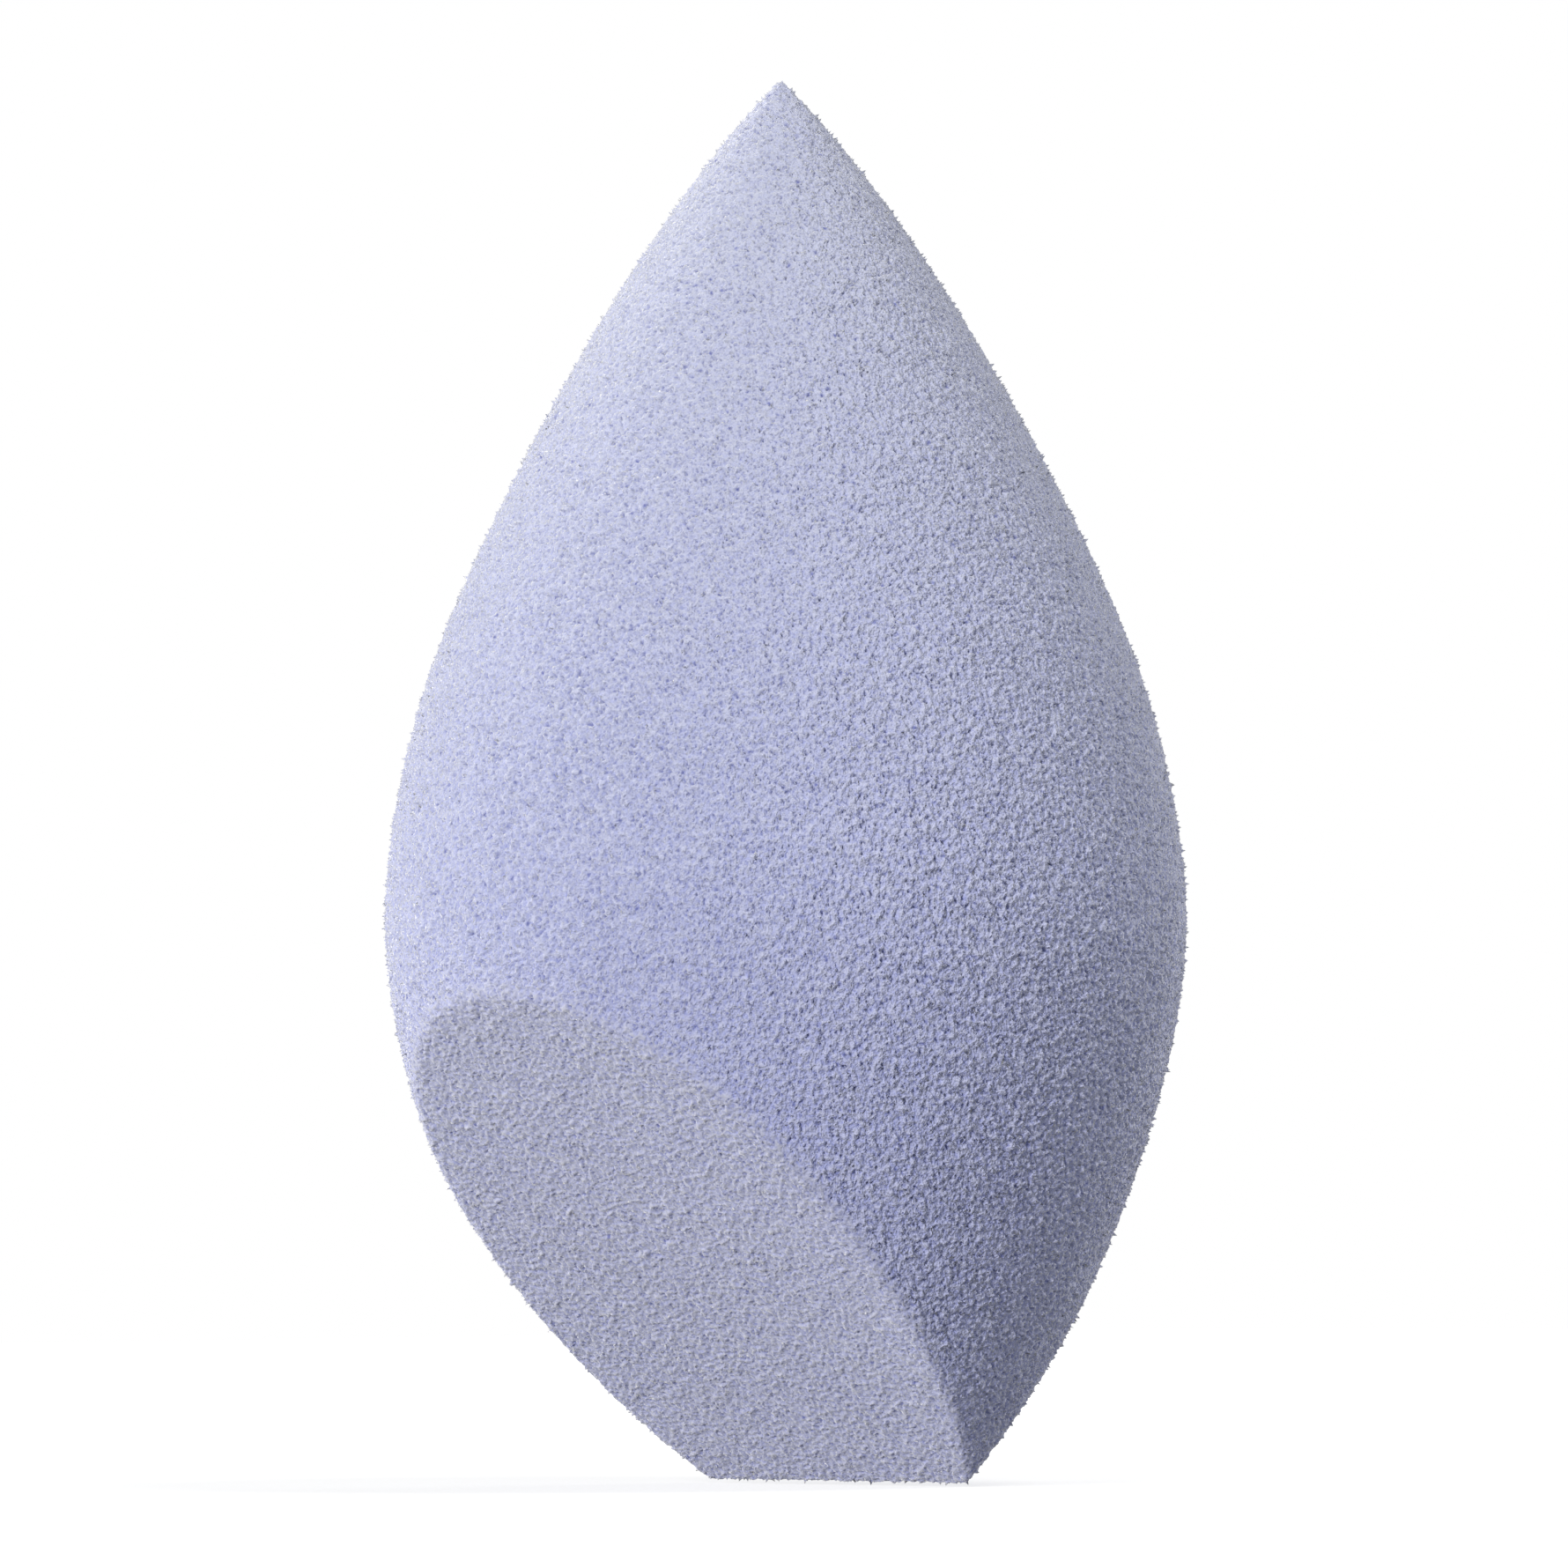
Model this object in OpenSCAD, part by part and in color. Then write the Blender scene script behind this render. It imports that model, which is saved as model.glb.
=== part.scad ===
// Makeup sponge: one block of soft foam, shaped as a pointed spindle whose lower end is cut off
// by two slanted planes. The cuts meet in a straight ridge, which is the sponge's lowest line.
// +Z runs up the sponge's axis to its tip. The ridge lies along X at Z = 0, behind the axis.
// The large cut face looks forward and down, towards -Y, and the smaller one back and down.

/* [Body] */
// Height from the ridge of the base up to the tip
sponge_h = 65; // [55:1:80]
// Diameter at the widest level of the belly
belly_d = 37; // [32:1:44]
// Height of the widest level above the ridge
belly_h = 26; // [22:1:30]
// Radius that rounds the tip
tip_r = 0.6; // [0.4:0.1:2]

/* [Flank curve] */
// How far up the flank stays nearly upright above the belly, as a share of the way to the tip
belly_hold_share = 0.3; // [0.2:0.01:0.4]
// Height of the curve's last handle, as a share of the way from the belly to the tip
tip_handle_h_share = 0.77; // [0.7:0.01:0.85]
// Distance of that handle from the axis, as a share of the belly's radius
tip_handle_r_share = 0.44; // [0.36:0.01:0.5]

/* [Base cuts] */
// Slope of the large front cut against the level, in degrees
front_cut_angle = 46.5; // [40:0.5:55]
// Slope of the smaller back cut against the level, in degrees
back_cut_angle = 52; // [45:0.5:60]
// Distance of the ridge behind the axis
ridge_back = 3; // [0:0.5:5]

/* [Hidden] */
$fn = 120;
curve_steps = 36;
tip_steps = 6;

belly_r = belly_d / 2;

// The flank runs straight into the tip at this angle from the axis, and the tip's round blends
// into it, so the curve itself aims at a point a little above the finished tip.
tip_half_angle = atan(tip_handle_r_share * belly_r
    / ((1 - tip_handle_h_share) * (sponge_h - belly_h)));
curve_h = sponge_h - belly_h + tip_r * (1 / sin(tip_half_angle) - 1);
tip_centre_h = sponge_h - tip_r;

// A curve with two handles, as the share t of its length goes from 0 to 1
function curve(t, a, b, c, d) =
    pow(1 - t, 3) * a + 3 * pow(1 - t, 2) * t * b + 3 * (1 - t) * pow(t, 2) * c + pow(t, 3) * d;

// Distance from the axis and height above the belly, for one point of the flank
function flank_point(t) = [
    curve(t, belly_r, belly_r, tip_handle_r_share * belly_r, 0),
    curve(t, 0, belly_hold_share * curve_h, tip_handle_h_share * curve_h, curve_h)
];

flank = [for (i = [0 : curve_steps]) flank_point(i / curve_steps)];

// The flank up to where the tip's round takes over
upper_flank = [
    for (p = flank)
        if (p[0] > tip_r * cos(tip_half_angle)) [p[0], belly_h + p[1]]
];

tip_round = [
    for (i = [0 : tip_steps])
        let (angle = tip_half_angle + (90 - tip_half_angle) * i / tip_steps)
            [tip_r * cos(angle), tip_centre_h + tip_r * sin(angle)]
];

// The same flank turned over below the belly, all but its first point, from the bottom up
lower_flank = [
    for (i = [curve_steps : -1 : 1])
        [flank[i][0], belly_h - flank[i][1]]
];

// The whole spindle before its base is cut
module spindle() {
    rotate_extrude()
        polygon(concat(lower_flank, upper_flank, tip_round));
}

// Everything below a plane that rises from the ridge at the given slope, towards -Y
module cut_away(slope) {
    reach = sponge_h + belly_d;
    rotate([-slope, 0, 0])
        translate([-reach / 2, -reach, -reach])
            cube([reach, 2 * reach, reach]);
}

// The sponge itself, a single piece of foam
module foam_body() {
    color([0.66, 0.67, 0.82])
        difference() {
            spindle();
            translate([0, ridge_back, 0])
                cut_away(front_cut_angle);
            translate([0, ridge_back, 0])
                mirror([0, 1, 0])
                    cut_away(back_cut_angle);
        }
}

foam_body();
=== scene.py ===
import bpy, bmesh, math
import numpy as np
from mathutils import Matrix, Vector


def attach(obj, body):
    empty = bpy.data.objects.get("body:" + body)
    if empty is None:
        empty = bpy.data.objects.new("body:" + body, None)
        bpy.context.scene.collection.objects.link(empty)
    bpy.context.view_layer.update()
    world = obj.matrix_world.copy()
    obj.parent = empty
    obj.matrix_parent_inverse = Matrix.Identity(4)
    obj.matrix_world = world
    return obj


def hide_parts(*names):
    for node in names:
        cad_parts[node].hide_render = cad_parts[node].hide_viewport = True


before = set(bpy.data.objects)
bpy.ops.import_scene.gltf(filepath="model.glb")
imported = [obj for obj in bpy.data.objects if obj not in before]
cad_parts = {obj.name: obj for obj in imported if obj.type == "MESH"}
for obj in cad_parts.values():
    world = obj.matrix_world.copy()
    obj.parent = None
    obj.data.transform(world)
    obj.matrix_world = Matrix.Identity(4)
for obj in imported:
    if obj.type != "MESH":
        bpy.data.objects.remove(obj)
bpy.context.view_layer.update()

# The sponge: one block of soft open-cell foam, moulded to a pointed spindle. Two slanted cuts take
# off its lower end and meet in a straight ridge, which is the sponge's lowest line. The cells leave
# a fine, even grain all over, and their broken walls stand up from it as a short fuzz.
sponge_height = 0.065
belly_radius = 0.0185
belly_height = 0.026
tip_radius = 0.0006
belly_hold = 0.3
tip_handle_height = 0.77
tip_handle_radius = 0.44
flank_steps = 72
tip_steps = 8
turn_steps = 160

tip_half_angle = math.atan(
    tip_handle_radius * belly_radius / ((1 - tip_handle_height) * (sponge_height - belly_height)))
flank_height = sponge_height - belly_height + tip_radius * (1 / math.sin(tip_half_angle) - 1)


def flank_point(t):
    """Distance from the axis and height above the belly, a share t of the way up the flank."""
    u = 1 - t
    r = u**3 * belly_radius + 3 * u * u * t * belly_radius
    r += 3 * u * t * t * tip_handle_radius * belly_radius
    h = 3 * u * u * t * belly_hold * flank_height
    h += 3 * u * t * t * tip_handle_height * flank_height + t**3 * flank_height
    return r, h


flank = [flank_point(i / flank_steps) for i in range(flank_steps + 1)]
outline = [(r, belly_height - h) for r, h in reversed(flank[1:])]
outline += [(r, belly_height + h) for r, h in flank if r > tip_radius * math.cos(tip_half_angle)]
tip_middle = sponge_height - tip_radius
for i in range(tip_steps + 1):
    a = tip_half_angle + (math.pi / 2 - tip_half_angle) * i / tip_steps
    outline.append((tip_radius * math.cos(a), tip_middle + tip_radius * math.sin(a)))

# The soft side departs a little from the plain curve: it is fuller at the shoulder, and slimmer and
# lower at the tip.
shoulder_swell = 0.00016
shoulder_height = 0.038
shoulder_reach = 0.0055
tip_trim = 0.0001
tip_trim_reach = 0.004
tip_drop = 0.00012
tip_drop_reach = 0.0015


def near(z, height, reach):
    """1 at that height of the sponge, and fading out over the reach above and below it."""
    return math.exp(-((z - height) / reach)**2)


def soften(r, z):
    """A point of the plain curve moved to the soft side. The very tip keeps half its width."""
    swell = shoulder_swell * near(z, shoulder_height, shoulder_reach)
    wider = swell - tip_trim * near(z, sponge_height, tip_trim_reach)
    return max(r + wider, 0.5 * r), z - tip_drop * near(z, sponge_height, tip_drop_reach)


outline = [soften(r, z) for r, z in outline]
outline[0] = (0, outline[0][1])
outline[-1] = (0, outline[-1][1])
foam = bmesh.new()
line = [foam.verts.new((r, 0, z)) for r, z in outline]
edges = [foam.edges.new(pair) for pair in zip(line, line[1:])]
bmesh.ops.spin(foam, geom=line + edges, cent=(0, 0, 0), axis=(0, 0, 1), angle=2 * math.pi,
               steps=turn_steps, use_merge=True, use_duplicate=False)
bmesh.ops.remove_doubles(foam, verts=foam.verts, dist=1e-6)

# The two cuts. They are taken a little lower than the true ridge, which makes up for what the wear
# and the relief take off it.
front_cut_slope = math.radians(46.5)
back_cut_slope = math.radians(52)
ridge_back = 0.003
ridge_spare = 0.00013
front_normal = Vector((0, -math.sin(front_cut_slope), -math.cos(front_cut_slope)))
back_normal = Vector((0, math.sin(back_cut_slope), -math.cos(back_cut_slope)))
ridge = Vector((0, ridge_back, -ridge_spare))
for normal in (front_normal, back_normal):
    cut = bmesh.ops.bisect_plane(foam, geom=foam.verts[:] + foam.edges[:] + foam.faces[:],
                                 dist=1e-7, plane_co=ridge, plane_no=normal, clear_outer=True)
    rim = [e for e in cut["geom_cut"] if isinstance(e, bmesh.types.BMEdge)]
    bmesh.ops.holes_fill(foam, edges=rim, sides=0)
bmesh.ops.recalc_face_normals(foam, faces=foam.faces)
block = bpy.data.meshes.new("foam_sponge")
foam.to_mesh(block)
foam.free()
sponge = bpy.data.objects.new("foam_sponge", block)
bpy.context.scene.collection.objects.link(sponge)


def set_shape(piece):
    """Keeps what the modifiers have made as the piece's own mesh."""
    bpy.context.view_layer.update()
    seen = piece.evaluated_get(bpy.context.evaluated_depsgraph_get())
    made = bpy.data.meshes.new_from_object(seen)
    piece.modifiers.clear()
    piece.data = made


foam_grid = 0.0001
even = sponge.modifiers.new("even_grid", "REMESH")
even.mode = "VOXEL"
even.voxel_size = foam_grid
even.use_smooth_shade = True
set_shape(sponge)

# The knife leaves the rims of the cuts sharp, and use rounds them over. The foam just under a cut
# is marked as well, because it is flatter and greyer than the moulded side.
rim_wear = 0.0014
rim_rounds = 40
cut_skin = 0.00012
cut_fade = 0.0004
points = np.empty(len(sponge.data.vertices) * 3, dtype=np.float32)
sponge.data.vertices.foreach_get("co", points)
points = points.reshape(-1, 3)
off_ridge = points - np.array(ridge)
to_cuts = np.abs(np.stack([off_ridge @ np.array(front_normal), off_ridge @ np.array(back_normal)]))
outline_r, outline_z = np.array(outline).T
side_r = np.interp(points[:, 2], outline_z, outline_r)
to_side = np.abs(np.hypot(points[:, 0], points[:, 1]) - side_r)
second_nearest = np.sort(np.vstack([to_cuts, to_side]), axis=0)[1]
rims = sponge.vertex_groups.new(name="rims")
rims.add(np.nonzero(second_nearest < rim_wear)[0].tolist(), 1.0, "REPLACE")
worn = sponge.modifiers.new("worn_rims", "SMOOTH")
worn.vertex_group = "rims"
worn.factor, worn.iterations = 0.5, rim_rounds
on_cut = np.clip(1 - (to_cuts.min(axis=0) - cut_skin) / cut_fade, 0, 1).astype(np.float32)
sponge.data.attributes.new("on_cut", "FLOAT", "POINT").data.foreach_set("value", on_cut)


def add(tree, kind, settings=None, **values):
    """Adds one node: its settings, then its inputs by name, or by number as i0, i1 and on."""
    made = tree.nodes.new(kind)
    for name, value in (settings or {}).items():
        setattr(made, name, value)
    for name, value in values.items():
        key = int(name[1:]) if name[0] == "i" and name[1:].isdigit() else name.replace("_", " ")
        if isinstance(value, bpy.types.NodeSocket):
            tree.links.new(value, made.inputs[key])
        else:
            made.inputs[key].default_value = value
    return made


def math_of(tree, kind, a, b):
    """The sum, product or other result of two values."""
    return add(tree, "ShaderNodeMath", {"operation": kind}, i0=a, i1=b).outputs[0]


def ramp(tree, value, start=0.0, end=1.0, low=0.0, high=1.0, **settings):
    """A value that goes from low to high while the one given goes from start to end."""
    return add(tree, "ShaderNodeMapRange", settings, Value=value, From_Min=start, From_Max=end,
               To_Min=low, To_Max=high).outputs[0]


def random_of(tree, low, high, seed):
    """A value for each point between low and high, the same in each run."""
    return add(tree, "FunctionNodeRandomValue", {"data_type": "FLOAT"}, i2=low, i3=high,
               Seed=seed).outputs[1]


def remember(tree, geometry, name, value):
    """Keeps a value with each point, under the name by which the material reads it."""
    return add(tree, "GeometryNodeStoreNamedAttribute", {"data_type": "FLOAT", "domain": "POINT"},
               Geometry=geometry, Name=name, Value=value).outputs[0]


# The relief: small close hollows with raised cell walls between them, wider pits here and there,
# open mouths of single cells, and broken walls that stand up as fuzz. The walls are lower on the
# cuts and towards the tip. All of it is sunk a little, so that the fuzz doesn't add to the size.
hollows_per_mm = 5.0
wall_span = (0.15, 0.7)
hollow_height, wall_height = -0.00009, 0.00007
relief_on_cut = 0.6
relief_at_tip = 0.6
tip_span = (0.036, 0.06)
unevenness = 0.00003
pits_per_mm = 2.2
pit_span = (0.1, 0.3)
open_pits = (0.6, 0.8)
pit_depth = 0.00005
mouth_share = 0.1
mouth_depth = 0.00015
# How dark the painted shade in an open mouth is.
mouth_shade = 0.7
fuzz_share = 0.035
fuzz_length = 0.0002
sunk_by = 0.000085
# The heights over which the hollows take their bluer painted shade.
hollow_shade_span = (0.00002, -0.0002)

relief = bpy.data.node_groups.new("foam_relief", "GeometryNodeTree")
relief.interface.new_socket("Geometry", in_out="INPUT", socket_type="NodeSocketGeometry")
relief.interface.new_socket("Geometry", in_out="OUTPUT", socket_type="NodeSocketGeometry")
source = relief.nodes.new("NodeGroupInput").outputs[0]
spot = relief.nodes.new("GeometryNodeInputPosition").outputs[0]
spot_mm = add(relief, "ShaderNodeVectorMath", {"operation": "SCALE"}, i0=spot,
              Scale=1000.0).outputs[0]
outward = relief.nodes.new("GeometryNodeInputNormal").outputs[0]

hollows = add(relief, "ShaderNodeTexVoronoi", Vector=spot_mm, Scale=hollows_per_mm)
walls = ramp(relief, hollows.outputs["Distance"], *wall_span, low=hollow_height,
             high=wall_height, clamp=False)
sliced = add(relief, "GeometryNodeInputNamedAttribute", {"data_type": "FLOAT"},
             Name="on_cut").outputs[0]
spot_height = add(relief, "ShaderNodeSeparateXYZ", i0=spot).outputs[2]
flatter = math_of(relief, "MULTIPLY", ramp(relief, sliced, low=1.0, high=relief_on_cut),
                  ramp(relief, spot_height, *tip_span, low=1.0, high=relief_at_tip))
walls = math_of(relief, "MULTIPLY", walls, flatter)

pits = add(relief, "ShaderNodeTexVoronoi", Vector=spot_mm, Scale=pits_per_mm)
pit_chance = add(relief, "ShaderNodeSeparateXYZ", i0=pits.outputs["Color"]).outputs[0]
pit_here = ramp(relief, pits.outputs["Distance"], *pit_span, low=1.0, high=0.0,
                interpolation_type="SMOOTHSTEP")
pit = math_of(relief, "MULTIPLY", pit_here, ramp(relief, pit_chance, *open_pits))

chance = random_of(relief, 0.0, 1.0, seed=5)
fuzz = ramp(relief, chance, start=1.0 - fuzz_share, high=fuzz_length)
mouth = ramp(relief, chance, end=mouth_share, low=1.0, high=0.0)
uneven = random_of(relief, -unevenness, unevenness, seed=8)

height = math_of(relief, "ADD", walls, math_of(relief, "MULTIPLY", pit, -pit_depth))
height = math_of(relief, "ADD", height, fuzz)
height = math_of(relief, "SUBTRACT", height, math_of(relief, "MULTIPLY", mouth, mouth_depth))
height = math_of(relief, "SUBTRACT", height, sunk_by)
height = math_of(relief, "ADD", height, math_of(relief, "MULTIPLY", uneven, flatter))
push = add(relief, "ShaderNodeVectorMath", {"operation": "SCALE"}, i0=outward,
           Scale=height).outputs[0]
kept = add(relief, "GeometryNodeSetPosition", Geometry=source, Offset=push).outputs[0]
# The pits and open mouths are marked for the dark blue painted shade inside the cells.
pore_shade = math_of(relief, "MAXIMUM", pit, math_of(relief, "MULTIPLY", mouth, mouth_shade))
kept = remember(relief, kept, "pore_shade", pore_shade)
# The hollows are marked, under the name low, for a bluer painted shade.
kept = remember(relief, kept, "low", ramp(relief, height, *hollow_shade_span))
relief.links.new(kept, relief.nodes.new("NodeGroupOutput").inputs[0])
grain = sponge.modifiers.new("foam_relief", "NODES")
grain.node_group = relief
set_shape(sponge)

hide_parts("foam_body")
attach(sponge, "root")

# The foam's colours: lavender, greyer where it is cut. The side is whiter towards the tip, a
# painted sheen of the light on the upper part, and bluer low down, a painted shade. The hollows
# take a bluer painted shade, stronger low down, and the pores a dark blue painted shade.
# The finest cells are too small for the mesh: they are a bump, softer on the cuts, and a little
# painted shade.
# Whiter towards the tip as a painted sheen of the light, and bluer low down as painted shade.
side_low, side_high = (0.535, 0.555, 0.765, 1), (0.55, 0.57, 0.70, 1)
cut_colour = (0.535, 0.543, 0.64, 1)
# Painted shade of the hollows: bluer and darker, most of all low down.
hollow_shade_low, hollow_shade_high = (0.35, 0.385, 0.745, 1), (0.46, 0.485, 0.70, 1)
# Painted shade of the pores: the dark blue of the shade inside the cells.
pore_shade_colour = (0.13, 0.15, 0.41, 1)
paler_span = (0.016, 0.058)
fine_cells_per_m = 9500.0
fine_cell_span = (0.28, 0.42)
fine_cell_height = 0.0001
# How dark the painted shade in the finest cells' hollows gets.
fine_cell_shade_strength = 0.3
fine_on_cut = 0.4


def mix_of(tree, share, first, second):
    """A colour that turns from the first into the second as the share goes from 0 to 1."""
    return add(tree, "ShaderNodeMix", {"data_type": "RGBA"}, Factor=share, i6=first,
               i7=second).outputs[2]


foam_look = bpy.data.materials.new("foam")
foam_look.use_nodes = True
tree = foam_look.node_tree
skin = tree.nodes["Principled BSDF"]
# Where the pores take their painted shade.
pore_shade = add(tree, "ShaderNodeAttribute", {"attribute_name": "pore_shade"}).outputs["Fac"]
# Where the hollows take their painted shade.
hollow_shade_share = add(tree, "ShaderNodeAttribute", {"attribute_name": "low"}).outputs["Fac"]
cut_here = add(tree, "ShaderNodeAttribute", {"attribute_name": "on_cut"}).outputs["Fac"]
where = tree.nodes.new("ShaderNodeTexCoord").outputs["Object"]
cells = add(tree, "ShaderNodeTexNoise", Vector=where, Scale=fine_cells_per_m,
            Detail=0.0).outputs[0]
level = add(tree, "ShaderNodeSeparateXYZ", i0=where).outputs[2]
# The share of the painted sheen towards the tip; higher up it also weakens the hollows' shade.
paler = ramp(tree, level, *paler_span)
wall = mix_of(tree, cut_here, mix_of(tree, paler, side_low, side_high), cut_colour)
# The hollows take a bluer painted shade.
wall = mix_of(tree, hollow_shade_share, wall, mix_of(tree, paler, hollow_shade_low, hollow_shade_high))
# Painted shade in the hollows of the finest cells.
fine_cell_shade = ramp(tree, cells, *fine_cell_span, low=fine_cell_shade_strength, high=0.0)
# The pores and the finest cells turn to the dark blue of their painted shade.
shade = math_of(tree, "MAXIMUM", fine_cell_shade, pore_shade)
tree.links.new(mix_of(tree, shade, wall, pore_shade_colour), skin.inputs["Base Color"])
softer = ramp(tree, cut_here, low=1.0, high=fine_on_cut)
bump = add(tree, "ShaderNodeBump", Strength=1.0, Distance=fine_cell_height,
           Height=math_of(tree, "MULTIPLY", cells, softer)).outputs[0]
tree.links.new(bump, skin.inputs["Normal"])
skin.inputs["Roughness"].default_value = 0.9
skin.inputs["Specular IOR Level"].default_value = 0.2
skin.inputs["Sheen Weight"].default_value = 0.9
skin.inputs["Sheen Roughness"].default_value = 0.4
sponge.data.materials.clear()
sponge.data.materials.append(foam_look)

# The floor: a matt pale sheet, which the fuzz under the ridge just touches. It turns to pure white
# a little way off, as the cut-out picture's ground is.
floor_reach = 0.7
floor_drop = 0.00017
floor_colour = (0.35, 0.35, 0.35, 1)
white_from, white_at = 0.03, 0.2
glow_near = 0.72
sheet = bmesh.new()
bmesh.ops.create_grid(sheet, x_segments=1, y_segments=1, size=floor_reach,
                      matrix=Matrix.Translation((0, 0, -floor_drop)))
floor_mesh = bpy.data.meshes.new("floor")
sheet.to_mesh(floor_mesh)
sheet.free()
floor = bpy.data.objects.new("floor", floor_mesh)
bpy.context.scene.collection.objects.link(floor)
floor_look = bpy.data.materials.new("floor")
floor_look.use_nodes = True
tree = floor_look.node_tree
sheet_skin = tree.nodes["Principled BSDF"]
sheet_skin.inputs["Base Color"].default_value = floor_colour
sheet_skin.inputs["Roughness"].default_value = 1.0
sheet_skin.inputs["Specular IOR Level"].default_value = 0.0
sheet_skin.inputs["Emission Color"].default_value = (1, 1, 1, 1)


def seen_directly(tree):
    """1 for rays that come from the camera, straight or by a reflection or through glass."""
    path = tree.nodes.new("ShaderNodeLightPath").outputs
    direct = math_of(tree, "MAXIMUM", path["Is Camera Ray"], path["Is Glossy Ray"])
    return math_of(tree, "MAXIMUM", direct, path["Is Transmission Ray"])


from_middle = add(tree, "ShaderNodeVectorMath", {"operation": "LENGTH"},
                  i0=tree.nodes.new("ShaderNodeTexCoord").outputs["Object"]).outputs["Value"]
glow = ramp(tree, from_middle, white_from, white_at, low=glow_near)
shown_glow = math_of(tree, "MULTIPLY", glow, seen_directly(tree))
tree.links.new(shown_glow, sheet_skin.inputs["Emission Strength"])
floor_mesh.materials.append(floor_look)

# The white room around it: pure white to the camera, and a softer, slightly cool light on the foam,
# so that the lamps shape it.
room_light = 0.36
room_tint = (0.9, 0.95, 1.0, 1)
world = bpy.data.worlds.new("studio")
bpy.context.scene.world = world
world.use_nodes = True
tree = world.node_tree
room = tree.nodes["Background"]
seen = seen_directly(tree)
tree.links.new(mix_of(tree, seen, room_tint, (1, 1, 1, 1)), room.inputs["Color"])
tree.links.new(ramp(tree, seen, low=room_light), room.inputs["Strength"])

# The lamps: a key on the left of the camera, split into a low and a higher lamp, a wide one at the
# sponge's left side, one high on the right for the tip, and a wide one behind it on the right.
view_azimuth = 47.4
lamp_distance = 0.6
lamp_aim = Vector((0, 0, 0.03))
lamp_colour = (1.0, 0.985, 0.94)


def outward_at(azimuth, elevation):
    """The direction out from the sponge; azimuth 0 is the camera's side, and right is more."""
    turn, lift = math.radians(view_azimuth + azimuth), math.radians(elevation)
    return Vector((math.sin(turn) * math.cos(lift), -math.cos(turn) * math.cos(lift),
                   math.sin(lift)))


def lamp(name, azimuth, elevation, power, size):
    """A round lamp aimed at the sponge from that direction."""
    data = bpy.data.lights.new(name, "AREA")
    data.shape, data.size, data.energy = "DISK", size, power
    data.color = lamp_colour
    made = bpy.data.objects.new(name, data)
    bpy.context.scene.collection.objects.link(made)
    back = outward_at(azimuth, elevation)
    place = Matrix.Translation(lamp_aim + back * lamp_distance)
    made.matrix_world = place @ back.to_track_quat("Z", "Y").to_matrix().to_4x4()


lamp("key_low", azimuth=-29, elevation=5, power=1.7, size=0.1)
lamp("key_high", azimuth=-29, elevation=25, power=0.9, size=0.1)
lamp("left_side", azimuth=-112, elevation=6, power=3.3, size=0.35)
lamp("right_high", azimuth=60, elevation=60, power=1.24, size=0.2)
lamp("right_behind", azimuth=128, elevation=6, power=2.2, size=0.35)

# The camera: low down, on a level with the middle of the cut, half a metre off, and turned to the
# right of the large cut's own direction.
camera_distance = 0.505
camera_height = 0.0106
aim_height = 0.03224
frame_width = 0.07246
frame_shift = -0.0006
camera_roll = math.radians(0.36)
sensor_width = 36
camera_data = bpy.data.cameras.new("camera")
camera = bpy.data.objects.new("camera", camera_data)
bpy.context.scene.collection.objects.link(camera)
bpy.context.scene.camera = camera
camera_data.sensor_width = sensor_width
camera_data.lens = sensor_width * camera_distance / frame_width
camera_data.shift_x = frame_shift
camera_data.clip_start, camera_data.clip_end = 0.05, 10
place = outward_at(0, 0) * camera_distance + Vector((0, 0, camera_height))
aim = Vector((0, 0, aim_height)) - place
upright = Matrix.Translation(place) @ aim.to_track_quat("-Z", "Y").to_matrix().to_4x4()
camera.matrix_world = upright @ Matrix.Rotation(-camera_roll, 4, "Z")

bpy.context.scene.view_settings.view_transform = "Standard"
